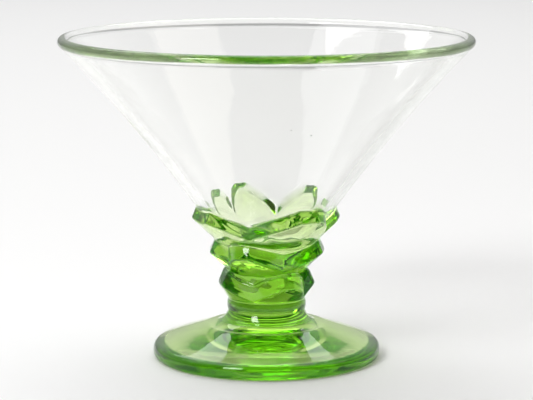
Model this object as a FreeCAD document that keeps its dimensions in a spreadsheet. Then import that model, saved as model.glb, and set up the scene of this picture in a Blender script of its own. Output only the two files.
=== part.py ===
import FreeCAD, Part
import os
import Sketcher

# A palm-stem martini glass: a clear conical bowl with a beaded rim, a green stem shaped like
# a palm trunk with three tiers of faceted leaves, and a green disc foot. Millimetres, +Z up,
# origin on the axis of the glass at the level that the foot stands on. -Y is the front.
# The three pieces are glass fused to glass, so they meet face to face with no clearance.

os.makedirs("parts", exist_ok=True)
doc = FreeCAD.newDocument("palm_stem_martini_glass")
sheet = doc.addObject("Spreadsheet::Sheet", "dims")

SIZES = [
    # foot
    ("foot_radius", 36.0, "outside of the disc foot"),
    ("foot_edge_height", 4.4, "height of the foot's outer edge"),
    ("foot_flare_reach", 6.3, "how far the flare reaches out from the seam"),
    ("foot_flare_height", 10.4, "where the flare meets the sloping top of the foot"),
    ("foot_flare_sagitta", 1.3, "hollow of the flare"),
    ("foot_ring_width", 5.0, "width of the ring that the foot stands on"),
    ("foot_hollow_depth", 4.4, "rise of the underside at the axis"),
    ("foot_top_rounding", 2.4, "rounding of the upper edge"),
    ("foot_bottom_rounding", 1.5, "rounding of the lower edge"),
    ("seam_rise", 4.5, "seam between stem and foot above the flare's foot"),
    ("seam_step", 0.3, "seam radius beyond the trunk"),
    # stem: plain trunk behind the leaves
    ("trunk_radius", 11.9, "trunk behind the leaves"),
    ("neck_ring_height", 4.3, "height of the round ring above the seam"),
    ("neck_ring_sagitta", 0.45, "bulge of that ring"),
    # stem: leaf tiers, each above a cone on which its lower edges lie
    ("lower_rise", 8.8, "lower leaf tips above the seam"),
    ("middle_rise", 10.1, "middle leaf tips above the lower ones"),
    ("upper_rise", 11.0, "upper leaf tips above the middle ones"),
    ("lower_tip_reach", 3.5, "lower leaf tips beyond the trunk, at their lower edge"),
    ("middle_tip_reach", 6.6, "the same for the middle leaves"),
    ("upper_tip_reach", 11.9, "the same for the upper leaves"),
    ("lower_valley_reach", 0.7, "valleys between the lower leaves beyond the trunk"),
    ("middle_valley_reach", 1.7, "the same for the middle leaves"),
    ("upper_valley_reach", 7.3, "the same for the upper leaves"),
    ("lower_bulge", 0.7, "outward bulge of the lower leaves' flanks, in plan"),
    ("middle_bulge", 1.0, "the same for the middle leaves"),
    ("upper_bulge", 1.3, "the same for the upper leaves"),
    ("lower_slope", 0.68, "growth of radius per height on the underside of the lower leaves"),
    ("middle_slope", 1.05, "the same for the middle leaves"),
    ("upper_slope", 1.03, "the same for the upper leaves"),
    ("lower_draft", 24.0, "degrees that the lower leaves' edges lean inward at the tips"),
    ("middle_draft", 22.0, "the same for the middle leaves"),
    ("upper_draft", 23.0, "the same for the upper leaves"),
    ("lower_edge_height", 4.2, "height of the lower leaves' edge at a tip"),
    # bowl
    ("seat_wall", 0.7, "stem wall round the bottom of the bowl"),
    ("seat_drop", 10.7, "bottom of the bowl below the upper leaf tips"),
    ("collar_reach", 8.1, "outside of the bowl beyond the trunk, where it leaves the stem"),
    ("collar_rise", 0.2, "height of that circle above the upper leaf tips' lower edge"),
    ("rim_radius", 65.0, "outside of the rim bead"),
    ("glass_height", 102.0, "height of the whole glass"),
    ("bead_diameter", 3.4, "rim bead"),
    ("bowl_sagitta", 1.3, "trumpet hollow of the bowl's side"),
    ("wall_thickness", 3.1, "bowl wall, square to the side"),
    ("floor_thickness", 4.6, "bowl floor above its flat bottom"),
    ("floor_rounding", 8.0, "rounding between the floor and the side, inside"),
]

# The leaves of each tier. Each leaf runs from its valley to a blunt tip with two corners, and
# the next leaf's valley closes it: three angles in degrees round the axis from the front,
# counted to the right, then how far this tip and this valley reach past the tier's own reach.
# Pressed palm leaves aren't even, so the steps differ a little.
LEAF_VALUES = ("valley", "tip_from", "tip_to", "tip_extra", "valley_extra")
LEAVES = {
    "lower": [(-18, 22, 36, 0, 0), (68, 86, 102, 0, 0), (158, 196, 212, 0, 0), (250, 270, 294, 0, 0)],
    "middle": [(-47, -22, -18, 0, 2.2), (23, 74, 92, 0, 0), (118, 156, 174, 0, 0.8), (212, 256, 284, 0, 0)],
    "upper": [
        (-16, 26, 41, 2, 0), (68, 94, 106, -0.4, 0), (122, 138, 146, 4, 1),
        (170, 197, 205, 4.5, 0.5), (216, 225, 233, 2.5, 1), (250, 277, 308, 0, 0),
    ],
}
TIERS = ("lower", "middle", "upper")

# Radii and heights that several outlines share, as expressions on the sheet.
SEAM_RADIUS = "(dims.trunk_radius + dims.seam_step)"
SEAM = "(dims.foot_flare_height + dims.seam_rise)"
LOWER_TIP = f"({SEAM} + dims.lower_rise)"
MIDDLE_TIP = f"({LOWER_TIP} + dims.middle_rise)"
UPPER_TIP = f"({MIDDLE_TIP} + dims.upper_rise)"
TIP_HEIGHT = dict(zip(TIERS, (LOWER_TIP, MIDDLE_TIP, UPPER_TIP)))
TIP_RADIUS = {tier: f"(dims.trunk_radius + dims.{tier}_tip_reach)" for tier in TIERS}
SEAT_RADIUS = "(dims.trunk_radius - dims.seat_wall)"
SEAT = f"({UPPER_TIP} - dims.seat_drop)"
COLLAR_RADIUS = "(dims.trunk_radius + dims.collar_reach)"
COLLAR = f"({UPPER_TIP} + dims.collar_rise)"
BEAD_RADIUS = "(dims.rim_radius - dims.bead_diameter / 2)"
BEAD = "(dims.glass_height - dims.bead_diameter / 2)"

# The bowl's side runs from the collar to the bead. Its direction splits the wall, which is
# measured square to it, into a step inward and a step upward.
SIDE_RUN = f"({BEAD_RADIUS} - {COLLAR_RADIUS})"
SIDE_RISE = f"({BEAD} - {COLLAR})"
SIDE_LENGTH = f"sqrt({SIDE_RUN}^2 + {SIDE_RISE}^2)"
WALL_IN = f"(dims.wall_thickness * {SIDE_RISE} / {SIDE_LENGTH})"
WALL_UP = f"(dims.wall_thickness * {SIDE_RUN} / {SIDE_LENGTH})"

# Outside of the bowl: flat bottom, cone inside the stem, flaring side up to the bead.
# The same outline is the seat that the stem is formed around.
BOWL_TOP = f"{BEAD} - {WALL_UP} / 2"
BOWL_OUTSIDE = [
    ("0", SEAT),
    (SEAT_RADIUS, SEAT),
    (COLLAR_RADIUS, COLLAR),
    (f"{BEAD_RADIUS} + {WALL_IN} / 2", BOWL_TOP),
    ("0", BOWL_TOP),
]
BOWL_SIDE_ARC = {2: ("dims.bowl_sagitta", 1)}


def leaf_rows():
    """Sheet rows for the values of all leaves."""
    rows = []
    for tier, leaves in LEAVES.items():
        for index, leaf in enumerate(leaves, start=1):
            for name, value in zip(LEAF_VALUES, leaf):
                note = "millimetres" if name.endswith("extra") else "degrees round the axis"
                rows.append((f"{tier}_leaf{index}_{name}", value, note))
    return rows


def fill_sheet(rows):
    """Write every driving value to the sheet as plain text under its alias."""
    for row, (alias, value, note) in enumerate(rows, start=1):
        sheet.set(f"A{row}", alias)
        sheet.set(f"B{row}", str(value))
        sheet.set(f"C{row}", note)
        sheet.setAlias(f"B{row}", alias)


def number(expression):
    """Present value of an expression on the sheet."""
    value = sheet.evalExpression(expression)
    return float(getattr(value, "Value", value))


def vector(corner):
    return FreeCAD.Vector(number(corner[0]), number(corner[1]), 0)


def origin_plane(body, role):
    for feature in body.Origin.OriginFeatures:
        if feature.Role == role:
            return feature
    raise RuntimeError(f"{body.Label} has no plane {role}")


def new_sketch(body, name, role):
    sketch = body.newObject("Sketcher::SketchObject", name)
    sketch.AttachmentSupport = [(origin_plane(body, role), "")]
    sketch.MapMode = "FlatFace"
    return sketch


def bind(sketch, constraint, expression):
    """Add a sized constraint and tie its size to an expression."""
    index = sketch.addConstraint(constraint)
    sketch.setExpression(f"Constraints[{index}]", expression)


def tie_point(sketch, geometry, position, corner):
    """Hold a point of a sketch at a pair of expressions; "0" puts it on the sketch's axis."""
    for kind, axis, expression in (("DistanceX", -2, corner[0]), ("DistanceY", -1, corner[1])):
        if expression == "0":
            sketch.addConstraint(Sketcher.Constraint("PointOnObject", geometry, position, axis))
        else:
            value = number(expression)
            bind(sketch, Sketcher.Constraint(kind, -1, 1, geometry, position, value), expression)


def arc_radius(first, second, sagitta):
    """Radius of the arc over two corners, as an expression."""
    chord_square = f"(({second[0]}) - ({first[0]}))^2 + (({second[1]}) - ({first[1]}))^2"
    return f"({chord_square}) / (8 * {sagitta}) + {sagitta} / 2"


def arc_between(first, second, sagitta, side):
    """An arc over two corners that bulges to the left (+1) or right (-1) of their line."""
    start = vector(first)
    end = vector(second)
    along = (end - start).normalize()
    left = FreeCAD.Vector(-along.y, along.x, 0)
    middle = (start + end) * 0.5 + left * (side * number(sagitta))
    return Part.Arc(start, middle, end)


def closed_sketch(body, name, role, corners, arcs):
    """A closed outline on one of the body's own planes.

    corners are pairs of expressions; arcs gives, for a side by the number of the corner it
    starts at, the sagitta's expression and the side to which it bulges.
    """
    sketch = new_sketch(body, name, role)
    following = corners[1:] + corners[:1]
    ends = []
    for index, (first, second) in enumerate(zip(corners, following)):
        if index in arcs:
            shape = arc_between(first, second, *arcs[index])
        else:
            shape = Part.LineSegment(vector(first), vector(second))
        geometry = sketch.addGeometry(shape, False)
        forward = sketch.getPoint(geometry, 1).distanceToPoint(vector(first)) < 1e-6
        ends.append((geometry, 1, 2) if forward else (geometry, 2, 1))
    for index, corner in enumerate(corners):
        geometry, start, _ = ends[index]
        previous, _, previous_end = ends[index - 1]
        sketch.addConstraint(Sketcher.Constraint("Coincident", previous, previous_end, geometry, start))
        tie_point(sketch, geometry, start, corner)
    for index, (sagitta, _) in arcs.items():
        radius = arc_radius(corners[index], following[index], sagitta)
        bind(sketch, Sketcher.Constraint("Radius", ends[index][0], number(radius)), radius)
    return sketch


def turn(body, kind, name, sketch):
    """Revolve a sketch about Z: kind is Revolution to add or Groove to cut."""
    feature = body.newObject("PartDesign::" + kind, name)
    feature.Profile = sketch
    feature.ReferenceAxis = (sketch, ["V_Axis"])
    feature.Angle = 360
    return feature


def turn_outline(body, kind, name, corners, arcs=None):
    """Revolve a closed outline of (radius, height) corners about Z."""
    return turn(body, kind, name, closed_sketch(body, name + "_outline", "XZ_Plane", corners, arcs or {}))


def circles_at(shape, radius, height):
    """Names of the shape's circular edges about Z with this radius and height."""
    names = []
    for index, edge in enumerate(shape.Edges, start=1):
        if edge.Degenerated or not isinstance(edge.Curve, Part.Circle):
            continue
        same_radius = abs(edge.Curve.Radius - radius) < 1e-4
        same_height = abs(edge.Curve.Center.z - height) < 1e-4
        if same_radius and same_height:
            names.append(f"Edge{index}")
    return names


def round_edge(body, name, rounding, radius, height):
    """Fillet the circular edges of the body's last feature at this radius and height."""
    doc.recompute()
    edges = circles_at(body.Tip.Shape, number(radius), number(height))
    if not edges:
        raise RuntimeError(f"{name} found no edge")
    base = body.Tip
    fillet = body.newObject("PartDesign::Fillet", name)
    fillet.Base = (base, edges)
    fillet.setExpression("Radius", rounding)


def new_body(name):
    body = doc.addObject("PartDesign::Body", name)
    body.Label = name
    body.Placement = FreeCAD.Placement()
    return body


def make_foot():
    """Disc foot: a ring to stand on, a rounded edge, a sloping top and a flare to the seam."""
    body = new_body("foot")
    outline = [
        ("0", "dims.foot_hollow_depth"),
        ("dims.foot_radius - dims.foot_ring_width", "0"),
        ("dims.foot_radius", "0"),
        ("dims.foot_radius", "dims.foot_edge_height"),
        (f"{SEAM_RADIUS} + dims.foot_flare_reach", "dims.foot_flare_height"),
        (SEAM_RADIUS, SEAM),
        ("0", SEAM),
    ]
    turn_outline(body, "Revolution", "foot_disc", outline, {
        0: ("dims.foot_hollow_depth / 4", 1),
        4: ("dims.foot_flare_sagitta", 1),
    })
    round_edge(body, "top_round", "dims.foot_top_rounding", "dims.foot_radius", "dims.foot_edge_height")
    round_edge(body, "bottom_round", "dims.foot_bottom_rounding", "dims.foot_radius", "0")
    return body


def leaf_corners(tier, tip_radius):
    """Plan outline of a tier as X and Y expressions: valley, tip, tip for each leaf."""
    corners = []
    for index in range(1, len(LEAVES[tier]) + 1):
        leaf = f"dims.{tier}_leaf{index}"
        valley_radius = f"(dims.trunk_radius + dims.{tier}_valley_reach + {leaf}_valley_extra)"
        leaf_radius = f"({tip_radius} + {leaf}_tip_extra)"
        radii = {"valley": valley_radius, "tip_from": leaf_radius, "tip_to": leaf_radius}
        for corner, radius in radii.items():
            corners.append((f"{radius} * sin({leaf}_{corner})", f"-{radius} * cos({leaf}_{corner})"))
    return corners


def underside_start(tier):
    """Height at which a tier's underside cone leaves the trunk."""
    return f"({TIP_HEIGHT[tier]} - dims.{tier}_tip_reach / dims.{tier}_slope)"


def leaf_tier(body, tier, head):
    """One ring of leaves, from its underside cone up to the height of its head.

    A star-shaped block whose tips lean inward as it rises and whose valleys stand upright
    is trimmed by the cone, which leaves the leaves' zigzag lower edge.
    """
    start = underside_start(tier)
    sections = []
    for end, height in (("foot", start), ("head", head)):
        tip_radius = f"({TIP_RADIUS[tier]} + ({TIP_HEIGHT[tier]} - {height}) * tan(dims.{tier}_draft))"
        corners = leaf_corners(tier, tip_radius)
        flanks = [side for side in range(len(corners)) if side % 3 != 1]
        arcs = {side: (f"dims.{tier}_bulge", -1) for side in flanks}
        section = closed_sketch(body, f"{tier}_{end}", "XY_Plane", corners, arcs)
        section.setExpression("AttachmentOffset.Base.z", height)
        sections.append(section)
    block = body.newObject("PartDesign::AdditiveLoft", f"{tier}_leaves")
    block.Profile = sections[0]
    block.Sections = [sections[1]]
    block.Ruled = True

    clear_radius = f"({TIP_RADIUS[tier]} + dims.{tier}_tip_reach)"
    clear_height = f"{start} + ({clear_radius} - dims.trunk_radius) / dims.{tier}_slope"
    under = [("dims.trunk_radius", start), (clear_radius, start), (clear_radius, clear_height)]
    turn_outline(body, "Groove", f"{tier}_underside", under)


def make_stem():
    """Palm trunk: round neck ring, three tiers of leaves from the top down, bowl seat."""
    body = new_body("stem")
    ring_top = f"{SEAM} + dims.neck_ring_height"
    trunk = [
        ("0", SEAM),
        (SEAM_RADIUS, SEAM),
        ("dims.trunk_radius", ring_top),
        ("dims.trunk_radius", SEAT),
        ("0", SEAT),
    ]
    turn_outline(body, "Revolution", "trunk", trunk, {1: ("dims.neck_ring_sagitta", -1)})
    # The upper leaves rise past the collar, and the bowl's seat gives them their tops.
    leaf_tier(body, "upper", f"({COLLAR} + dims.upper_rise)")
    # The middle leaves end inside the upper ones, where both cones have the same radius.
    reach_difference = "(dims.upper_tip_reach - dims.middle_tip_reach)"
    leaf_tier(body, "middle", f"({UPPER_TIP} - {reach_difference} / dims.upper_slope)")
    # The lower leaves stand free of the middle ones and have flat tops.
    leaf_tier(body, "lower", f"({LOWER_TIP} + dims.lower_edge_height)")
    turn_outline(body, "Groove", "bowl_seat", BOWL_OUTSIDE, BOWL_SIDE_ARC)
    return body


def make_bowl():
    """Conical bowl: outside, cavity with a rounded floor, and the bead round the rim."""
    body = new_body("bowl")
    turn_outline(body, "Revolution", "bowl_outside", BOWL_OUTSIDE, BOWL_SIDE_ARC)
    floor = f"({SEAT} + dims.floor_thickness)"
    inner_radius = f"({COLLAR_RADIUS} - {WALL_IN})"
    inner_height = f"({COLLAR} + {WALL_UP})"
    seat_slope = f"(({COLLAR_RADIUS} - {SEAT_RADIUS}) / ({COLLAR} - {SEAT}))"
    floor_radius = f"({inner_radius} - ({inner_height} - {floor}) * {seat_slope})"
    mouth = f"{BEAD} + {WALL_UP} / 2"
    cavity = [
        ("0", floor),
        (floor_radius, floor),
        (inner_radius, inner_height),
        (f"{BEAD_RADIUS} - {WALL_IN} / 2", mouth),
        ("0", mouth),
    ]
    turn_outline(body, "Groove", "bowl_cavity", cavity, BOWL_SIDE_ARC)
    round_edge(body, "floor_round", "dims.floor_rounding", floor_radius, floor)

    section = new_sketch(body, "bead_outline", "XZ_Plane")
    axis = FreeCAD.Vector(0, 0, 1)
    diameter = "dims.bead_diameter"
    section.addGeometry(Part.Circle(vector((BEAD_RADIUS, BEAD)), axis, number(diameter) / 2), False)
    tie_point(section, 0, 3, (BEAD_RADIUS, BEAD))
    bind(section, Sketcher.Constraint("Diameter", 0, number(diameter)), diameter)
    turn(body, "Revolution", "rim_bead", section)
    return body


def check(pieces):
    """Stop when any object failed or any piece isn't one valid solid."""
    for item in doc.Objects:
        if "Invalid" in item.State or "Error" in item.State:
            raise RuntimeError(f"{item.Label} failed: {item.State}")
    for piece in pieces:
        shape = piece.Shape
        if shape.isNull() or not shape.isValid() or len(shape.Solids) != 1:
            raise RuntimeError(f"{piece.Label} isn't one valid solid")


fill_sheet(SIZES + leaf_rows())
doc.recompute()
pieces = [make_foot(), make_stem(), make_bowl()]
doc.recompute()
check(pieces)
for piece in pieces:
    piece.Shape.exportStep(f"parts/{piece.Label}.step")
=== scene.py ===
"""A palm-stem martini glass: clear bowl, green leaf stem and green foot, fused into one."""

import math

import bpy
import numpy as np
from bpy.props import FloatProperty, FloatVectorProperty, IntProperty, PointerProperty
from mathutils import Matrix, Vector


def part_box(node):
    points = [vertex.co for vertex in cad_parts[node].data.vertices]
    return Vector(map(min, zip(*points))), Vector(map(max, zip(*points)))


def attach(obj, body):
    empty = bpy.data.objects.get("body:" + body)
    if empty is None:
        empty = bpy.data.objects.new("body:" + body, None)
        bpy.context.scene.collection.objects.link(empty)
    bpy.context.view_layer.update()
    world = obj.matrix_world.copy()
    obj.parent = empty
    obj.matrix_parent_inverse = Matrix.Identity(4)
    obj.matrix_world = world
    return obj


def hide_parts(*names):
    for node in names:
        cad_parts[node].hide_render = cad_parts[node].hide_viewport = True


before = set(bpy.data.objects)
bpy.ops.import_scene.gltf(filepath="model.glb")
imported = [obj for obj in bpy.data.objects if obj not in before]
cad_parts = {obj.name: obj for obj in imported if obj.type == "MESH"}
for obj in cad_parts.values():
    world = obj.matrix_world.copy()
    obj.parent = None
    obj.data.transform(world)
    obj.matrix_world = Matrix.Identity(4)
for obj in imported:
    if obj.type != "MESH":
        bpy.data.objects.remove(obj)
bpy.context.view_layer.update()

BOWL_LOW, BOWL_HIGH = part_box("bowl")
STEM_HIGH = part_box("stem")[1]
FOOT_LOW, FOOT_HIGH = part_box("foot")

bl_info = {
    "name": "Palm-stem martini glass",
    "version": (1, 0, 0),
    "blender": (4, 5, 0),
    "location": "View3D > Sidebar > Glass",
    "description": "Makes a pressed martini glass with a clear bowl on a green palm stem and foot",
    "category": "Add Mesh",
}

# The leaves of each tier, as the mould has them: the angle of the valley before the leaf, of
# the two corners of its blunt tip, in degrees round the axis from the front, counted to the
# right, then how far in millimetres its tip and its valley stand out past the tier's own.
LOWER_LEAVES = ((-18, 22, 36, 0, 0), (68, 86, 102, 0, 0), (158, 196, 212, 0, 0), (250, 270, 294, 0, 0))
MIDDLE_LEAVES = ((-47, -22, -18, 0, 2.2), (23, 74, 92, 0, 0), (118, 156, 174, 0, 0.8), (212, 256, 284, 0, 0))
UPPER_LEAVES = (
    (-16, 26, 41, 2, 0), (68, 94, 106, -0.4, 0), (122, 138, 146, 4, 1),
    (170, 197, 205, 4.5, 0.5), (216, 225, 233, 2.5, 1), (250, 277, 308, 0, 0),
)

MILLIMETRE = 0.001
OVERLAP = 0.0001  # how far melted pieces reach into each other
AXIS_RADIUS = 0.0004  # innermost ring round a point on the axis

# How finely the skins are made.
OUTLINE_STEP = 0.00005  # between an outline's points, before it is thinned
MOST_BEND = 0.10  # radians that an outline may turn between two kept points
BOWL_LONGEST = 0.0012  # between two kept points inside the bowl
FOOT_LONGEST = 0.0009  # between two kept points on the foot
FIELD_STEP = 0.0001  # height between rows of the stem's field of radii
STEM_STEP = 0.0002  # height between rows of the stem's skin
COLLAR_DEPTH = 0.008  # stretch under the upper tips where rows start to follow the collar
COLLAR_ROWS = 90  # rows of the stem's skin on that stretch
SEAT_ROWS = 26  # rows where the bowl is sunk in the stem
WALL_ROWS = 84  # rows on the outside of the bowl

# How the leaves end on the bowl, measured under the upper tips.
WELD_START = 0.006  # where the weld may begin
COLLAR_START = 0.004  # where the collar may begin
WELD_END = 0.08  # share of the weld's size at which its fillet ends

SEAM_LINE = 0.0003  # height of the fine line round the seam
RUBBED_HEIGHT = 0.00004  # how far up the foot's underside is scratched by tables
RUBBED_ROUGHNESS = 0.22
SEED_BUBBLES = ((0.0072, 0.0785, 0.00022), (0.0130, 0.0765, 0.00022))  # across, height, radius
BUBBLE_DEPTH = 0.6  # of the wall's thickness, from the outside
BUBBLE_ROWS = 9
BUBBLE_STEPS = 14

SHARP_EDGE = math.radians(60)  # edges that turn more than this stay crisp

# Which random waves each surface has, and where they fade in: a start and a run.
OUTSIDE_WAVES = 3
INSIDE_WAVES = 5
FOOT_WAVES = 7
LEAF_WAVES = 11
ABOVE_LEAVES = (0.058, 0.008)  # heights on the bowl's outside
OFF_AXIS = (0.004, 0.010)  # radii inside the bowl
FOOT_TOP = (0.004, 0.002)  # heights above the foot's edge
BELOW_SEAM = (-0.0140, 0.001)  # heights under the seam, counted downward
NECK_RUN = 0.002  # height above the neck ring over which the leaves' waves fade in

FLOOR_STEPS = 96
FLOOR_RINGS = (0.3, 1.2)  # radii of the floor's inner rings
GLASS_BOUNCES = 160  # the rim guides light a long way round before it comes out
DIFFUSE_BOUNCES = 4

# Each light's place, width and height.
WINDOW = ((-0.62, -0.75, 0.80), 0.34, 0.46)
RIGHT_PANEL = ((1.15, 0.1, 1.6), 0.9, 1.5)
LEFT_PANEL = ((-1.15, 0.1, 1.6), 0.9, 1.5)
OVERHEAD = ((-0.3, 1.2, 2.3), 2.4, 2.4)

# Brightness of the sky at the horizon, at a middle height and overhead, and its dark side.
SKY_HORIZON = 0.30
SKY_MIDDLE = 0.60
SKY_MIDDLE_HEIGHT = 0.35
SKY_TOP = 0.35
SKY_BEHIND = 0.08

GREEN_GLASS = "green_pressed_glass"
FOOT_GLASS = "green_pressed_glass_foot"
CLEAR_GLASS = "clear_pressed_glass"
FUSED = "fused"  # 1 on faces where glass is melted to glass, so that no surface shows there


def length(name, description, default):
    return FloatProperty(name=name, description=description, default=default, unit="LENGTH", precision=5)


def degrees(name, description, default):
    value = math.radians(default)
    return FloatProperty(name=name, description=description, default=value, unit="ROTATION")


def tint(name, description, default):
    return FloatVectorProperty(
        name=name, description=description, default=default, size=3, subtype="COLOR", min=0, max=1
    )


def share(name, description, default):
    return FloatProperty(name=name, description=description, default=default, min=0, max=1, subtype="FACTOR")


class LowerTier(bpy.types.PropertyGroup):
    """Sizes of the lowest ring of leaves."""

    tip_height: length("Tip height", "Height of the tips' lower edge", 0.0237)
    tip_radius: length("Tip radius", "Radius of the tips' lower edge", 0.0154)
    valley_radius: length("Valley radius", "Radius of the valleys between the leaves", 0.0126)
    bulge: length("Bulge", "Outward bulge of a leaf's flanks", 0.0007)
    slope: FloatProperty(name="Slope", description="Growth of radius per height underneath", default=0.68)
    draft: degrees("Draft", "How far the edges lean inward at the tips", 24)


class MiddleTier(bpy.types.PropertyGroup):
    """Sizes of the middle ring of leaves."""

    tip_height: length("Tip height", "Height of the tips' lower edge", 0.0338)
    tip_radius: length("Tip radius", "Radius of the tips' lower edge", 0.0185)
    valley_radius: length("Valley radius", "Radius of the valleys between the leaves", 0.0136)
    bulge: length("Bulge", "Outward bulge of a leaf's flanks", 0.0010)
    slope: FloatProperty(name="Slope", description="Growth of radius per height underneath", default=1.05)
    draft: degrees("Draft", "How far the edges lean inward at the tips", 22)


class UpperTier(bpy.types.PropertyGroup):
    """Sizes of the ring of leaves that holds the bowl."""

    tip_height: length("Tip height", "Height of the tips' lower edge", 0.0448)
    tip_radius: length("Tip radius", "Radius of the tips' lower edge", 0.0238)
    valley_radius: length("Valley radius", "Radius of the valleys between the leaves", 0.0192)
    bulge: length("Bulge", "Outward bulge of a leaf's flanks", 0.0013)
    slope: FloatProperty(name="Slope", description="Growth of radius per height underneath", default=1.03)
    draft: degrees("Draft", "How far the edges lean inward at the tips", 23)


class GlassSizes(bpy.types.PropertyGroup):
    """Sizes of the glass that a maker would change."""

    segments: IntProperty(name="Segments", description="Steps round the axis", default=440, min=48)
    trunk_radius: length("Trunk radius", "Trunk behind the leaves", 0.0119)
    seam_radius: length("Seam radius", "Where the stem is fused to the foot", 0.0122)
    seam_groove: length("Seam groove", "Depth of the fine line round the seam", 0.00018)
    neck_ring_height: length("Neck ring height", "Height of the round ring above the seam", 0.0043)
    neck_ring_bulge: length("Neck ring bulge", "How far that ring stands out", 0.00045)
    edge_softness: length("Edge softness", "How far fire polishing has rounded the edges", 0.00030)
    lower_edge_height: length("Lower edge height", "Height of the lower leaves' edge at a tip", 0.0042)
    lower_valley_drop: length("Lower valley drop", "Fall of the lower tops to the valleys", 0.0034)
    lower_top_slope: FloatProperty(
        name="Lower top slope", description="Run of those tops per fall", default=1.8
    )
    weld: length("Weld", "Size of the fillet where the leaves end on the bowl", 0.00025)
    seat_radius: length("Seat radius", "Flat bottom of the bowl, sunk in the stem", 0.0112)
    collar_radius: length("Collar radius", "Outside of the bowl where it leaves the stem", 0.0200)
    collar_height: length("Collar height", "Height of that circle", 0.0450)
    wall: length("Wall", "Thickness of the bowl's wall", 0.0031)
    bead_diameter: length("Bead diameter", "Rounded bead round the rim", 0.0034)
    bowl_hollow: length("Bowl hollow", "How far the bowl's side curves in, like a trumpet", 0.0013)
    floor_thickness: length("Floor thickness", "Glass under the bowl's cavity", 0.0046)
    floor_rounding: length("Floor rounding", "Rounding between the floor and the side", 0.0080)
    rim_softness: length("Rim softness", "Rounding where the bead meets the wall", 0.00025)
    foot_softness: length("Foot softness", "Rounding of the foot's lines", 0.00035)
    foot_edge_height: length("Foot edge height", "Height of the foot's outer edge", 0.0044)
    flare_reach: length("Flare reach", "How far the foot's flare reaches out from the seam", 0.0063)
    flare_height: length("Flare height", "Where the flare meets the sloping top", 0.0104)
    flare_hollow: length("Flare hollow", "How far the flare curves in", 0.0013)
    hollow_radius: length("Hollow radius", "Inside of the ring that the foot stands on", 0.031)
    hollow_depth: length("Hollow depth", "Rise of the underside at the axis", 0.0044)
    foot_top_rounding: length("Top rounding", "Rounding of the foot's upper edge", 0.0024)
    foot_bottom_rounding: length("Bottom rounding", "Rounding of the foot's lower edge", 0.0015)
    waviness: length("Waviness", "Unevenness that the mould leaves in the surface", 0.00003)
    leaf_waviness: length("Leaf waviness", "The same in the leaves", 0.00008)
    lower: PointerProperty(type=LowerTier)
    middle: PointerProperty(type=MiddleTier)
    upper: PointerProperty(type=UpperTier)


class GlassColours(bpy.types.PropertyGroup):
    """Colours and finish of the two kinds of glass."""

    clear_tint: tint("Clear tint", "Colour that light keeps in the clear glass", (0.38, 0.66, 0.02))
    clear_density: FloatProperty(name="Clear density", description="Strength of that tint", default=3.5)
    green_tint: tint("Green tint", "Colour that light keeps in the green glass", (0.70, 0.89, 0.27))
    green_density: FloatProperty(name="Green density", description="Strength of that tint", default=180.0)
    foot_density: FloatProperty(name="Foot density", description="Strength in the foot", default=100.0)
    index: FloatProperty(name="Index", description="Index of refraction of the glass", default=1.5)
    smear: share("Smear", "Roughness of the faint smears on the surface", 0.05)
    ripple: share("Ripple", "Strength of the fine ripple from the mould", 0.03)


class StudioSettings(bpy.types.PropertyGroup):
    """Camera, lights and floor."""

    camera_distance: length("Camera distance", "From the axis of the glass", 0.6673)
    camera_height: length("Camera height", "Above the floor", 0.1638)
    camera_pitch: degrees("Camera pitch", "Tilt below the horizon", 9.692)
    lens: FloatProperty(name="Lens", description="Focal length", default=144.96, unit="CAMERA")
    floor_radius: length("Floor radius", "Size of the pale floor", 6.0)
    floor_gap: length("Floor gap", "Hair's breadth between the foot and the floor", 0.00008)
    floor_colour: tint("Floor colour", "Colour of the floor", (0.93, 0.93, 0.93))
    sky_strength: FloatProperty(name="Sky strength", description="Light from all round", default=1.45)
    window_power: FloatProperty(name="Window power", description="Soft light, front left", default=6.5)
    panel_power: FloatProperty(name="Panel power", description="Soft panels at the sides", default=3.8)
    panel_tint: tint("Panel tint", "Colour of the light from the right panel", (1.0, 0.95, 0.86))
    overhead_power: FloatProperty(name="Overhead power", description="Soft light above", default=40.0)


def settings():
    """The scene's sizes, colours and studio settings."""
    scene = bpy.context.scene
    return scene.martini_sizes, scene.martini_colours, scene.martini_studio


# ---------------------------------------------------------------- outlines


def arc(first, second, sagitta, steps):
    """Points over an arc between two (radius, height) points that bulges to its left."""
    first = np.array(first)
    second = np.array(second)
    chord = second - first
    span = float(np.hypot(*chord))
    along = chord / span
    left = np.array((-along[1], along[0]))
    radius = span * span / (8 * sagitta) + sagitta / 2
    centre = (first + second) / 2 + left * (sagitta - radius)
    half = math.asin(min(1.0, span / (2 * abs(radius))))
    angles = np.linspace(-half, half, steps)
    return centre + radius * (np.outer(np.sin(angles), along) + np.outer(np.cos(angles), left))


def line(first, second, steps):
    """Points over a straight line between two (radius, height) points."""
    share_of_way = np.linspace(0, 1, steps)[:, None]
    return np.array(first) * (1 - share_of_way) + np.array(second) * share_of_way


def rounded(before, corner, after, radius, steps):
    """Points of the fillet that rounds a corner of an outline."""
    corner = np.array(corner)
    to_before = np.array(before) - corner
    to_after = np.array(after) - corner
    to_before = to_before / np.hypot(*to_before)
    to_after = to_after / np.hypot(*to_after)
    half = math.acos(float(np.clip(to_before @ to_after, -1, 1))) / 2
    start = corner + to_before * radius / math.tan(half)
    end = corner + to_after * radius / math.tan(half)
    middle = to_before + to_after
    centre = corner + middle / np.hypot(*middle) * radius / math.sin(half)
    first = start - centre
    last = end - centre
    turn = math.pi - 2 * half
    shares = np.linspace(0, 1, steps)
    weights = np.sin((1 - shares) * turn) / math.sin(turn), np.sin(shares * turn) / math.sin(turn)
    return centre + np.outer(weights[0], first) + np.outer(weights[1], last)


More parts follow.
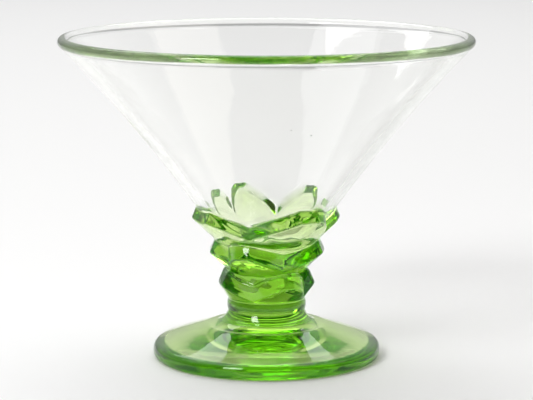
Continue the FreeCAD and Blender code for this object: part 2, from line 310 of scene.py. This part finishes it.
def soften(values, spacing, softness, axis, wrap):
    """Blur a field of radii along one axis, as fire polishing rounds edges."""
    sigma = softness / spacing
    reach = max(1, int(math.ceil(3 * sigma)))
    offsets = np.arange(-reach, reach + 1)
    weights = np.exp(-0.5 * (offsets / sigma) ** 2)
    weights /= weights.sum()
    mode = "wrap" if wrap else "edge"
    widths = [(reach, reach) if index == axis else (0, 0) for index in range(values.ndim)]
    padded = np.pad(values, widths, mode=mode)
    count = values.shape[axis]
    slices = (np.take(padded, range(start, start + count), axis=axis) for start in range(2 * reach + 1))
    return sum(weight * piece for weight, piece in zip(weights, slices))


def fade_in(values, start, run):
    """Weights that grow from 0 at a start to 1 a run further on."""
    return np.clip((values - start) / run, 0, 1)


def wave(angles, heights, size, seed, most_turns=8, most_rise=260):
    """Shallow unevenness over the whole surface: slow waves of random direction."""
    random = np.random.default_rng(seed)
    total = np.zeros(np.broadcast(angles, heights).shape)
    for _ in range(7):
        turns = random.integers(1, most_turns)
        rise = random.uniform(most_rise / 4, most_rise)
        shift = random.uniform(0, 2 * math.pi)
        total += np.sin(turns * angles + rise * heights + shift)
    return total * size / 3


# ---------------------------------------------------------------- mesh making


def ring(angles, radii, heights):
    """One ring of points round the axis. Angles are counted from the front to the right."""
    radii = np.broadcast_to(radii, angles.shape)
    heights = np.broadcast_to(heights, angles.shape)
    return np.column_stack((radii * np.sin(angles), -radii * np.cos(angles), heights))


def skin(rings, first_pole, last_pole):
    """Points, faces and band numbers of a closed skin over rings, with a point at each end."""
    count = len(rings[0])
    points = np.vstack([[first_pole], *rings, [last_pole]])
    here = np.arange(count)
    following = np.roll(here, -1)
    faces = [(0, int(1 + after), int(1 + index)) for index, after in zip(here, following)]
    bands = [0] * count
    for row in range(len(rings) - 1):
        low = 1 + row * count
        quads = np.column_stack((low + here, low + following, low + count + following, low + count + here))
        faces.extend(map(tuple, quads.tolist()))
        bands.extend([row + 1] * count)
    top = len(points) - 1
    last = 1 + (len(rings) - 1) * count
    faces.extend((top, int(last + index), int(last + after)) for index, after in zip(here, following))
    bands.extend([len(rings)] * count)
    return points, faces, np.array(bands)


def make_piece(name, points, faces, fused, node, material):
    """Turn points and faces into the piece that stands for a node, on the one body of the glass."""
    mesh = bpy.data.meshes.new(name)
    mesh.from_pydata(points.tolist(), [], faces)
    mesh.update()
    attribute = mesh.attributes.new(FUSED, "FLOAT", "FACE")
    attribute.data.foreach_set("value", np.asarray(fused, dtype=float))
    mesh.shade_smooth()
    mesh.set_sharp_from_angle(angle=SHARP_EDGE)
    piece = bpy.data.objects.new(name, mesh)
    bpy.context.scene.collection.objects.link(piece)
    piece.data.materials.append(material)
    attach(piece, "root")
    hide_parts(node)
    return piece


def soften_outline(points, softness):
    """An outline in even steps, with its corners rounded as fire polishing rounds them."""
    steps = np.hypot(*np.diff(points, axis=0).T)
    travelled = np.concatenate(([0], np.cumsum(steps)))
    count = int(travelled[-1] / OUTLINE_STEP)
    even = np.linspace(0, travelled[-1], count)
    fine = np.column_stack([np.interp(even, travelled, column) for column in points.T])
    smooth = soften(fine, OUTLINE_STEP, softness, 0, False)
    smooth[0] = fine[0]
    smooth[-1] = fine[-1]
    return smooth


def thin_out(points, bend, longest):
    """Keep the points of a fine outline where it turns by a bend, or runs on for a length."""
    kept = [0]
    direction = math.atan2(*(points[1] - points[0])[::-1])
    run = 0.0
    for index in range(1, len(points) - 1):
        step = points[index + 1] - points[index]
        heading = math.atan2(step[1], step[0])
        run += math.hypot(*step)
        turned = abs((heading - direction + math.pi) % (2 * math.pi) - math.pi)
        if turned > bend or run > longest:
            kept.append(index)
            direction = heading
            run = 0.0
    kept.append(len(points) - 1)
    return points[kept]


# ---------------------------------------------------------------- bowl


def bowl_numbers(sizes):
    """Centre of the rim bead, and the wall split into a step inward and a step upward."""
    bead = np.array((BOWL_HIGH.x - sizes.bead_diameter / 2, BOWL_HIGH.z - sizes.bead_diameter / 2))
    side = bead - np.array((sizes.collar_radius, sizes.collar_height))
    inward = np.array((-side[1], side[0])) / np.hypot(*side) * sizes.wall
    return bead, inward


def bowl_side(sizes, steps=161):
    """Outside of the bowl from its collar to the rim bead, as (radius, height) points."""
    bead, inward = bowl_numbers(sizes)
    return arc((sizes.collar_radius, sizes.collar_height), bead - inward / 2, sizes.bowl_hollow, steps)


def bowl_radius(sizes, heights):
    """Outer radius of the bowl at heights between its bottom and the rim."""
    side = bowl_side(sizes)
    radii = np.concatenate(([sizes.seat_radius], side[:, 0]))
    levels = np.concatenate(([BOWL_LOW.z], side[:, 1]))
    return np.interp(heights, levels, radii)


def rim_outline(sizes):
    """From the top of the outside, over the bead and down the inside to the floor's middle."""
    bead, inward = bowl_numbers(sizes)
    outside = bowl_side(sizes)
    inside = outside[::-1] + inward
    radius = sizes.bead_diameter / 2
    outside = outside[np.hypot(*(outside - bead).T) > radius]
    inside = inside[np.hypot(*(inside - bead).T) > radius]
    first = math.atan2(*(outside[-1] - bead)[::-1])
    last = math.atan2(*(inside[0] - bead)[::-1]) % (2 * math.pi)
    round_bead = np.linspace(first, last, num=60)
    bead_points = bead + radius * np.column_stack((np.cos(round_bead), np.sin(round_bead)))
    floor = BOWL_LOW.z + sizes.floor_thickness
    inner_slope = outside[0] - (sizes.seat_radius, BOWL_LOW.z)
    inner_slope = inner_slope / np.hypot(*inner_slope)
    reach = (inside[-1][1] - floor) / inner_slope[1]
    corner = inside[-1] - inner_slope * reach
    fillet = rounded(inside[-1], corner, (0, floor), sizes.floor_rounding, steps=24)
    return outside, np.vstack((outside[-3:-1], bead_points, inside, fillet, [(AXIS_RADIUS, floor)]))


def seed_bubble(centre, radius):
    """Points and inward faces of a tiny bubble that the gob of glass trapped."""
    turns = np.linspace(0, 2 * math.pi, BUBBLE_STEPS, endpoint=False)
    rows = [
        ring(turns, radius * math.sin(angle), -radius * math.cos(angle)) + centre
        for angle in np.linspace(0, math.pi, BUBBLE_ROWS + 2)[1:-1]
    ]
    low = np.array(centre) - (0, 0, radius)
    high = np.array(centre) + (0, 0, radius)
    points, faces, _ = skin(rows, low, high)
    return points, [face[::-1] for face in faces]


# ---------------------------------------------------------------- stem


def chord_radius(angles, first_angle, first_radius, second_angle, second_radius, bulge):
    """Radius of a flank between two corners, at angles in degrees, with its bulge."""
    span = second_angle - first_angle
    share_of_way = (angles - first_angle) / span
    before = np.radians(angles - first_angle)
    after = np.radians(second_angle - angles)
    straight = first_radius * second_radius * math.sin(math.radians(span))
    straight = straight / (first_radius * np.sin(before) + second_radius * np.sin(after))
    return straight + 4 * bulge * share_of_way * (1 - share_of_way)


def leaf_wall(leaves, tier, angles, height):
    """Radius of a tier's star-shaped wall at one height."""
    lean = (tier.tip_height - height) * math.tan(tier.draft)
    turned = (angles - leaves[0][0]) % 360 + leaves[0][0]
    radii = np.zeros_like(angles)
    for index, (valley, tip_from, tip_to, tip_extra, valley_extra) in enumerate(leaves):
        next_leaf = leaves[(index + 1) % len(leaves)]
        next_valley = next_leaf[0] + (360 if index + 1 == len(leaves) else 0)
        valley_radius = tier.valley_radius + valley_extra * MILLIMETRE
        next_radius = tier.valley_radius + next_leaf[4] * MILLIMETRE
        tip = tier.tip_radius + tip_extra * MILLIMETRE + lean
        for start, start_radius, end, end_radius, bulge in (
            (valley, valley_radius, tip_from, tip, tier.bulge),
            (tip_from, tip, tip_to, tip, 0),
            (tip_to, tip, next_valley, next_radius, tier.bulge),
        ):
            here = (turned >= start) & (turned < end)
            radii[here] = chord_radius(turned[here], start, start_radius, end, end_radius, bulge)
    return radii


def leaf_tops(sizes, tier, wall, height):
    """Radius of the lowest leaves' sloping tops, which fall from each tip to the valleys."""
    tip_top = tier.tip_height + sizes.lower_edge_height
    tip_head = tier.tip_radius - sizes.lower_edge_height * math.tan(tier.draft)
    rise = np.clip((wall - tier.valley_radius) / (tip_head - tier.valley_radius), 0, 1)
    edge = tip_top - sizes.lower_valley_drop * (1 - rise)
    return wall - (height - edge) * sizes.lower_top_slope


def stem_radii(sizes, angles, heights):
    """Outer radius of the stem over a grid: rows are heights, columns are angles."""
    degrees_round = np.degrees(angles)
    ring_top = FOOT_HIGH.z + sizes.neck_ring_height
    seam = (sizes.seam_radius, FOOT_HIGH.z)
    neck = arc((sizes.trunk_radius, ring_top), seam, sizes.neck_ring_bulge, steps=33)[::-1]
    rows = []
    for height in heights:
        row = np.full(angles.shape, sizes.trunk_radius)
        if height < ring_top:
            row = np.maximum(row, np.interp(height, neck[:, 1], neck[:, 0]))
        for name, leaves in (("lower", LOWER_LEAVES), ("middle", MIDDLE_LEAVES), ("upper", UPPER_LEAVES)):
            tier = getattr(sizes, name)
            underside = tier.tip_radius + (height - tier.tip_height) * tier.slope
            if underside <= sizes.trunk_radius:
                continue
            wall = leaf_wall(leaves, tier, degrees_round, height)
            if name == "lower":
                wall = np.minimum(wall, leaf_tops(sizes, tier, wall, height))
            row = np.maximum(row, np.minimum(wall, underside))
        rows.append(row)
    return np.array(rows)


def stem_field(sizes):
    """Angles, heights and softened outer radii of the stem, with the weld under the bowl."""
    angles = np.linspace(0, 2 * math.pi, sizes.segments, endpoint=False)
    heights = np.arange(FOOT_HIGH.z - 10 * FIELD_STEP, STEM_HIGH.z + 40 * FIELD_STEP, FIELD_STEP)
    radii = stem_radii(sizes, angles, heights)
    radii = soften(radii, FIELD_STEP, sizes.edge_softness, 0, False)
    spacing = 2 * math.pi * sizes.middle.tip_radius / sizes.segments
    radii = soften(radii, spacing, sizes.edge_softness, 1, True)
    above_neck = fade_in(heights, FOOT_HIGH.z + sizes.neck_ring_height, NECK_RUN)[:, None]
    uneven = wave(
        angles, heights[:, None], sizes.leaf_waviness, LEAF_WAVES, most_turns=18, most_rise=1400
    )
    radii += uneven * above_neck
    outside = bowl_radius(sizes, heights)[:, None]
    past = radii - outside
    weld = outside + (past + np.sqrt(past**2 + sizes.weld**2)) / 2 - sizes.weld * WELD_END
    near_bowl = (heights > sizes.upper.tip_height - WELD_START)[:, None]
    return angles, heights, np.where(near_bowl, weld, radii)


def collar_line(sizes, heights, radii):
    """Height, for each angle, at which the leaves end on the outside of the bowl."""
    clear = bowl_radius(sizes, heights)[:, None] - radii
    above = clear > 0
    above[heights < sizes.upper.tip_height - COLLAR_START] = False
    first = above.argmax(axis=0)
    columns = np.arange(radii.shape[1])
    before = clear[first - 1, columns]
    after = clear[first, columns]
    share_of_way = before / (before - after)
    return heights[first - 1] + share_of_way * (heights[first] - heights[first - 1])


def radii_at(heights, radii, wanted):
    """Radii at one wanted height for each angle."""
    position = np.clip((wanted - heights[0]) / (heights[1] - heights[0]), 0, len(heights) - 1.001)
    low = position.astype(int)
    columns = np.arange(radii.shape[1])
    share_of_way = position - low
    return radii[low, columns] * (1 - share_of_way) + radii[low + 1, columns] * share_of_way


# ---------------------------------------------------------------- foot


def foot_outline(sizes):
    """From the middle of the underside, round the edge and up the flare to the seam."""
    radius = FOOT_HIGH.x
    level = FOOT_LOW.z
    hollow = np.linspace(AXIS_RADIUS, sizes.hollow_radius, num=60)
    rise = sizes.hollow_depth * (1 - (hollow / sizes.hollow_radius) ** 2)
    hollow = np.column_stack((hollow, level + rise))
    below = (radius, level)
    above = (radius, level + sizes.foot_edge_height)
    flare = (sizes.seam_radius + sizes.flare_reach, level + sizes.flare_height)
    seam = (sizes.seam_radius - sizes.seam_groove, FOOT_HIGH.z + OVERLAP / 2)
    bottom = rounded(hollow[-1], below, above, sizes.foot_bottom_rounding, steps=14)
    top = rounded(below, above, flare, sizes.foot_top_rounding, steps=18)
    slope = line(top[-1], flare, steps=40)
    under_seam = (sizes.seam_radius, FOOT_HIGH.z - SEAM_LINE)
    rise_to_seam = arc(flare, under_seam, sizes.flare_hollow, steps=40)
    return np.vstack((hollow, bottom, top, slope, rise_to_seam, [seam]))


# ---------------------------------------------------------------- materials


def remap(nodes, start, end, low, high):
    """A node that turns the range from start to end into the range from low to high."""
    node = nodes.new("ShaderNodeMapRange")
    for name, value in (("From Min", start), ("From Max", end), ("To Min", low), ("To Max", high)):
        node.inputs[name].default_value = value
    return node


def glass_material(name, tint_colour, density, colours):
    """Pressed glass: coloured through its depth, with faint smears and a fine mould ripple."""
    material = bpy.data.materials.new(name)
    material.use_nodes = True
    nodes = material.node_tree.nodes
    links = material.node_tree.links
    nodes.clear()

    def add(kind, **inputs):
        node = nodes.new(kind)
        for key, value in inputs.items():
            node.inputs[key.replace("_", " ")].default_value = value
        return node

    output = add("ShaderNodeOutputMaterial")
    glass = add("ShaderNodeBsdfPrincipled")
    glass.inputs["Base Color"].default_value = (1, 1, 1, 1)
    glass.inputs["Metallic"].default_value = 0
    glass.inputs["Transmission Weight"].default_value = 1
    glass.inputs["IOR"].default_value = colours.index
    depth = add("ShaderNodeVolumeAbsorption")
    depth.inputs["Color"].default_value = (*tint_colour, 1)
    depth.inputs["Density"].default_value = density
    links.new(glass.outputs["BSDF"], output.inputs["Surface"])
    links.new(depth.outputs["Volume"], output.inputs["Volume"])

    # Where glass is melted to glass, light goes straight on.
    melted = add("ShaderNodeAttribute")
    melted.attribute_name = FUSED
    free = nodes.new("ShaderNodeMath")
    free.operation = "SUBTRACT"
    free.inputs[0].default_value = 1
    links.new(melted.outputs["Fac"], free.inputs[1])
    index = remap(nodes, 0, 1, 1, colours.index)
    links.new(free.outputs[0], index.inputs["Value"])
    links.new(index.outputs["Result"], glass.inputs["IOR"])

    # Faint smears: patches that are a little less polished.
    place = add("ShaderNodeTexCoord")
    smears = add("ShaderNodeTexNoise", Scale=70, Detail=4, Roughness=0.55)
    links.new(place.outputs["Object"], smears.inputs["Vector"])
    patches = remap(nodes, 0.52, 0.78, 0, colours.smear)
    links.new(smears.outputs["Fac"], patches.inputs["Value"])

    # Fine scratches where the foot rubs on tables.
    split = add("ShaderNodeSeparateXYZ")
    links.new(place.outputs["Object"], split.inputs["Vector"])
    rubbed = remap(nodes, RUBBED_HEIGHT, 0, 0, RUBBED_ROUGHNESS)
    links.new(split.outputs["Z"], rubbed.inputs["Value"])
    scratches = add("ShaderNodeTexNoise", Scale=900, Detail=3, Roughness=0.7)
    links.new(place.outputs["Object"], scratches.inputs["Vector"])
    worn = nodes.new("ShaderNodeMath")
    worn.operation = "MULTIPLY"
    links.new(rubbed.outputs["Result"], worn.inputs[0])
    links.new(scratches.outputs["Fac"], worn.inputs[1])
    finish = nodes.new("ShaderNodeMath")
    finish.operation = "MAXIMUM"
    links.new(patches.outputs["Result"], finish.inputs[0])
    links.new(worn.outputs[0], finish.inputs[1])
    roughness = nodes.new("ShaderNodeMath")
    roughness.operation = "MULTIPLY"
    links.new(finish.outputs[0], roughness.inputs[0])
    links.new(free.outputs[0], roughness.inputs[1])
    links.new(roughness.outputs[0], glass.inputs["Roughness"])

    # The fine ripple that a mould leaves in the skin of pressed glass.
    ripple = add("ShaderNodeTexNoise", Scale=160, Detail=2, Roughness=0.5)
    links.new(place.outputs["Object"], ripple.inputs["Vector"])
    strength = nodes.new("ShaderNodeMath")
    strength.operation = "MULTIPLY"
    strength.inputs[1].default_value = colours.ripple
    links.new(free.outputs[0], strength.inputs[0])
    bump = add("ShaderNodeBump", Distance=0.001)
    links.new(strength.outputs[0], bump.inputs["Strength"])
    links.new(ripple.outputs["Fac"], bump.inputs["Height"])
    links.new(bump.outputs["Normal"], glass.inputs["Normal"])
    return material


def floor_material(colour):
    """Matt pale paper with a barely visible tooth."""
    material = bpy.data.materials.new("pale_floor")
    material.use_nodes = True
    nodes = material.node_tree.nodes
    links = material.node_tree.links
    surface = nodes["Principled BSDF"]
    surface.inputs["Base Color"].default_value = (*colour, 1)
    surface.inputs["Specular IOR Level"].default_value = 0.1
    place = nodes.new("ShaderNodeTexCoord")
    tooth = nodes.new("ShaderNodeTexNoise")
    tooth.inputs["Scale"].default_value = 900
    links.new(place.outputs["Object"], tooth.inputs["Vector"])
    rough = remap(nodes, 0, 1, 0.8, 0.95)
    links.new(tooth.outputs["Fac"], rough.inputs["Value"])
    links.new(rough.outputs["Result"], surface.inputs["Roughness"])
    return material


def sky(strength):
    """Soft light from all round: brightest a third of the way up, and dark behind the camera."""
    world = bpy.data.worlds.new("studio_sky")
    world.use_nodes = True
    bpy.context.scene.world = world
    nodes = world.node_tree.nodes
    links = world.node_tree.links
    background = nodes["Background"]
    background.inputs["Strength"].default_value = strength
    place = nodes.new("ShaderNodeTexCoord")
    split = nodes.new("ShaderNodeSeparateXYZ")
    links.new(place.outputs["Generated"], split.inputs["Vector"])
    height = nodes.new("ShaderNodeValToRGB")
    ramp = height.color_ramp
    ramp.elements[0].color = (SKY_HORIZON, SKY_HORIZON, SKY_HORIZON, 1)
    ramp.elements[1].color = (SKY_TOP, SKY_TOP, SKY_TOP, 1)
    middle = ramp.elements.new(SKY_MIDDLE_HEIGHT)
    middle.color = (SKY_MIDDLE, SKY_MIDDLE, SKY_MIDDLE, 1)
    links.new(split.outputs["Z"], height.inputs["Fac"])
    behind = remap(nodes, -0.2, 0.7, SKY_BEHIND, 1)
    links.new(split.outputs["Y"], behind.inputs["Value"])
    mix = nodes.new("ShaderNodeVectorMath")
    mix.operation = "SCALE"
    links.new(height.outputs["Color"], mix.inputs[0])
    links.new(behind.outputs["Result"], mix.inputs["Scale"])
    links.new(mix.outputs["Vector"], background.inputs["Color"])


def window(name, place, width, height, target, power):
    """A soft rectangular light that faces a point."""
    light = bpy.data.lights.new(name, "AREA")
    light.shape = "RECTANGLE"
    light.size = width
    light.size_y = height
    light.energy = power
    lamp = bpy.data.objects.new(name, light)
    bpy.context.scene.collection.objects.link(lamp)
    lamp.location = place
    facing = Vector(target) - Vector(place)
    lamp.rotation_euler = facing.to_track_quat("-Z", "Y").to_euler()
    return light


# ---------------------------------------------------------------- operators


class GLASS_OT_stem(bpy.types.Operator):
    """Make the green stem: a round neck and three rings of pointed palm leaves"""

    bl_idname = "glass.make_stem"
    bl_label = "Make stem"

    def execute(self, context):
        sizes, colours, _ = settings()
        angles, heights, radii = stem_field(sizes)
        collar = collar_line(sizes, heights, radii)
        low = FOOT_HIGH.z - OVERLAP / 2
        bend = sizes.upper.tip_height - COLLAR_DEPTH
        rings = [ring(angles, sizes.seam_radius - sizes.seam_groove, low)]
        for height in np.arange(FOOT_HIGH.z + STEM_STEP, bend, STEM_STEP):
            wanted = np.full(angles.shape, height)
            rings.append(ring(angles, radii_at(heights, radii, wanted), wanted))
        for way in np.linspace(0, 1, COLLAR_ROWS):
            wanted = bend + way * (collar - bend)
            rings.append(ring(angles, radii_at(heights, radii, wanted), wanted))
        outer_count = len(rings)
        seat = BOWL_LOW.z + OVERLAP
        for way in np.linspace(0, 1, SEAT_ROWS):
            wanted = collar + way * (seat - collar)
            rings.append(ring(angles, bowl_radius(sizes, wanted) - OVERLAP, wanted))
        points, faces, bands = skin(rings, (0, 0, low), (0, 0, seat))
        fused = (bands == 0) | (bands >= outer_count)
        material = glass_material(GREEN_GLASS, colours.green_tint, colours.green_density, colours)
        make_piece("leaf_stem", points, faces, fused, "stem", material)
        return {"FINISHED"}


class GLASS_OT_bowl(bpy.types.Operator):
    """Make the clear bowl: a hollow cone with a beaded rim, sunk into the leaves"""

    bl_idname = "glass.make_bowl"
    bl_label = "Make bowl"

    def execute(self, context):
        sizes, colours, _ = settings()
        angles, heights, radii = stem_field(sizes)
        collar = collar_line(sizes, heights, radii)
        outside, inside = rim_outline(sizes)
        rings = []
        for way in np.linspace(0, 1, SEAT_ROWS):
            wanted = BOWL_LOW.z + way * (collar - BOWL_LOW.z)
            rings.append(ring(angles, bowl_radius(sizes, wanted), wanted))
        hidden_count = len(rings)
        top = outside[-4][1]
        for way in np.linspace(0, 1, WALL_ROWS)[1:]:
            wanted = collar + way * (top - collar)
            above_leaves = fade_in(wanted, *ABOVE_LEAVES)
            uneven = wave(angles, wanted, sizes.waviness, OUTSIDE_WAVES) * above_leaves
            rings.append(ring(angles, bowl_radius(sizes, wanted) + uneven, wanted))
        inner = thin_out(soften_outline(inside, sizes.rim_softness), MOST_BEND, BOWL_LONGEST)
        for radius, height in inner:
            off_axis = fade_in(radius, *OFF_AXIS)
            uneven = wave(angles, height, sizes.waviness, INSIDE_WAVES) * off_axis
            rings.append(ring(angles, radius + uneven, height))
        points, faces, bands = skin(rings, (0, 0, BOWL_LOW.z), (0, 0, float(inner[-1][1])))
        fused = bands < hidden_count
        for across, height, radius in SEED_BUBBLES:
            reach = float(bowl_radius(sizes, height)) - sizes.wall * BUBBLE_DEPTH
            centre = (across, -math.sqrt(reach**2 - across**2), height)
            bubble, bubble_faces = seed_bubble(centre, radius)
            faces.extend(tuple(corner + len(points) for corner in face) for face in bubble_faces)
            points = np.vstack((points, bubble))
            fused = np.concatenate((fused, np.zeros(len(bubble_faces), dtype=bool)))
        material = glass_material(CLEAR_GLASS, colours.clear_tint, colours.clear_density, colours)
        make_piece("clear_bowl", points, faces, fused, "bowl", material)
        return {"FINISHED"}


class GLASS_OT_foot(bpy.types.Operator):
    """Make the green foot: a heavy disc with a rounded edge and a flare up to the stem"""

    bl_idname = "glass.make_foot"
    bl_label = "Make foot"

    def execute(self, context):
        sizes, colours, _ = settings()
        angles = np.linspace(0, 2 * math.pi, sizes.segments, endpoint=False)
        softened = soften_outline(foot_outline(sizes), sizes.foot_softness)
        outline = thin_out(softened, MOST_BEND, FOOT_LONGEST)
        rings = []
        for radius, height in outline:
            on_top = fade_in(height, *FOOT_TOP) * fade_in(-height, *BELOW_SEAM)
            uneven = wave(angles, radius, sizes.waviness, FOOT_WAVES) * on_top
            rings.append(ring(angles, radius, height + uneven))
        points, faces, bands = skin(rings, (0, 0, float(outline[0][1])), (0, 0, FOOT_HIGH.z + OVERLAP / 2))
        fused = bands == len(rings)
        material = glass_material(FOOT_GLASS, colours.green_tint, colours.foot_density, colours)
        make_piece("disc_foot", points, faces, fused, "foot", material)
        return {"FINISHED"}


class GLASS_OT_stage(bpy.types.Operator):
    """Set the camera, the pale floor and the soft light"""

    bl_idname = "glass.set_stage"
    bl_label = "Set stage"

    def execute(self, context):
        _, _, studio = settings()
        scene = bpy.context.scene
        camera = bpy.data.objects.new("camera", bpy.data.cameras.new("camera"))
        scene.collection.objects.link(camera)
        camera.data.lens = studio.lens
        camera.data.sensor_width = 36
        camera.data.clip_start = 0.01
        camera.location = (0, -studio.camera_distance, studio.camera_height)
        camera.rotation_euler = (math.radians(90) - studio.camera_pitch, 0, 0)
        scene.camera = camera

        angles = np.linspace(0, 2 * math.pi, FLOOR_STEPS, endpoint=False)
        level = FOOT_LOW.z - studio.floor_gap
        rings = [ring(angles, radius, level) for radius in (*FLOOR_RINGS, studio.floor_radius)]
        points = np.vstack(rings)
        faces = [tuple(range(FLOOR_STEPS))]
        for row in range(len(FLOOR_RINGS)):
            near = row * FLOOR_STEPS
            far = near + FLOOR_STEPS
            for index in range(FLOOR_STEPS):
                after = (index + 1) % FLOOR_STEPS
                faces.append((near + index, far + index, far + after, near + after))
        mesh = bpy.data.meshes.new("floor")
        mesh.from_pydata(points.tolist(), [], faces)
        mesh.materials.append(floor_material(studio.floor_colour))
        floor = bpy.data.objects.new("floor", mesh)
        scene.collection.objects.link(floor)

        sky(studio.sky_strength)
        middle = (0, 0, BOWL_HIGH.z / 2)
        window("window", *WINDOW, middle, studio.window_power)
        panel = window("right_panel", *RIGHT_PANEL, middle, studio.panel_power)
        panel.color = studio.panel_tint
        window("left_panel", *LEFT_PANEL, middle, studio.panel_power)
        window("overhead", *OVERHEAD, middle, studio.overhead_power)
        scene.view_settings.view_transform = "Standard"
        scene.cycles.max_bounces = GLASS_BOUNCES
        scene.cycles.transmission_bounces = GLASS_BOUNCES
        scene.cycles.glossy_bounces = GLASS_BOUNCES
        scene.cycles.diffuse_bounces = DIFFUSE_BOUNCES
        return {"FINISHED"}


class GLASS_PT_panel(bpy.types.Panel):
    """Lists the steps and sizes of the glass"""

    bl_idname = "GLASS_PT_panel"
    bl_label = "Martini glass"
    bl_space_type = "VIEW_3D"
    bl_region_type = "UI"
    bl_category = "Glass"

    def draw(self, context):
        for operator in OPERATORS:
            self.layout.operator(operator.bl_idname)
        for group in settings():
            box = self.layout.box()
            for name in group.__annotations__:
                box.prop(group, name)


GROUPS = (LowerTier, MiddleTier, UpperTier, GlassSizes, GlassColours, StudioSettings)
OPERATORS = (GLASS_OT_stage, GLASS_OT_bowl, GLASS_OT_stem, GLASS_OT_foot)


def register():
    for kind in (*GROUPS, *OPERATORS, GLASS_PT_panel):
        bpy.utils.register_class(kind)
    bpy.types.Scene.martini_sizes = PointerProperty(type=GlassSizes)
    bpy.types.Scene.martini_colours = PointerProperty(type=GlassColours)
    bpy.types.Scene.martini_studio = PointerProperty(type=StudioSettings)


def unregister():
    del bpy.types.Scene.martini_studio
    del bpy.types.Scene.martini_colours
    del bpy.types.Scene.martini_sizes
    for kind in reversed((*GROUPS, *OPERATORS, GLASS_PT_panel)):
        bpy.utils.unregister_class(kind)


def main():
    register()
    bpy.ops.glass.set_stage()
    bpy.ops.glass.make_bowl()
    bpy.ops.glass.make_stem()
    bpy.ops.glass.make_foot()


if __name__ == "__main__":
    main()
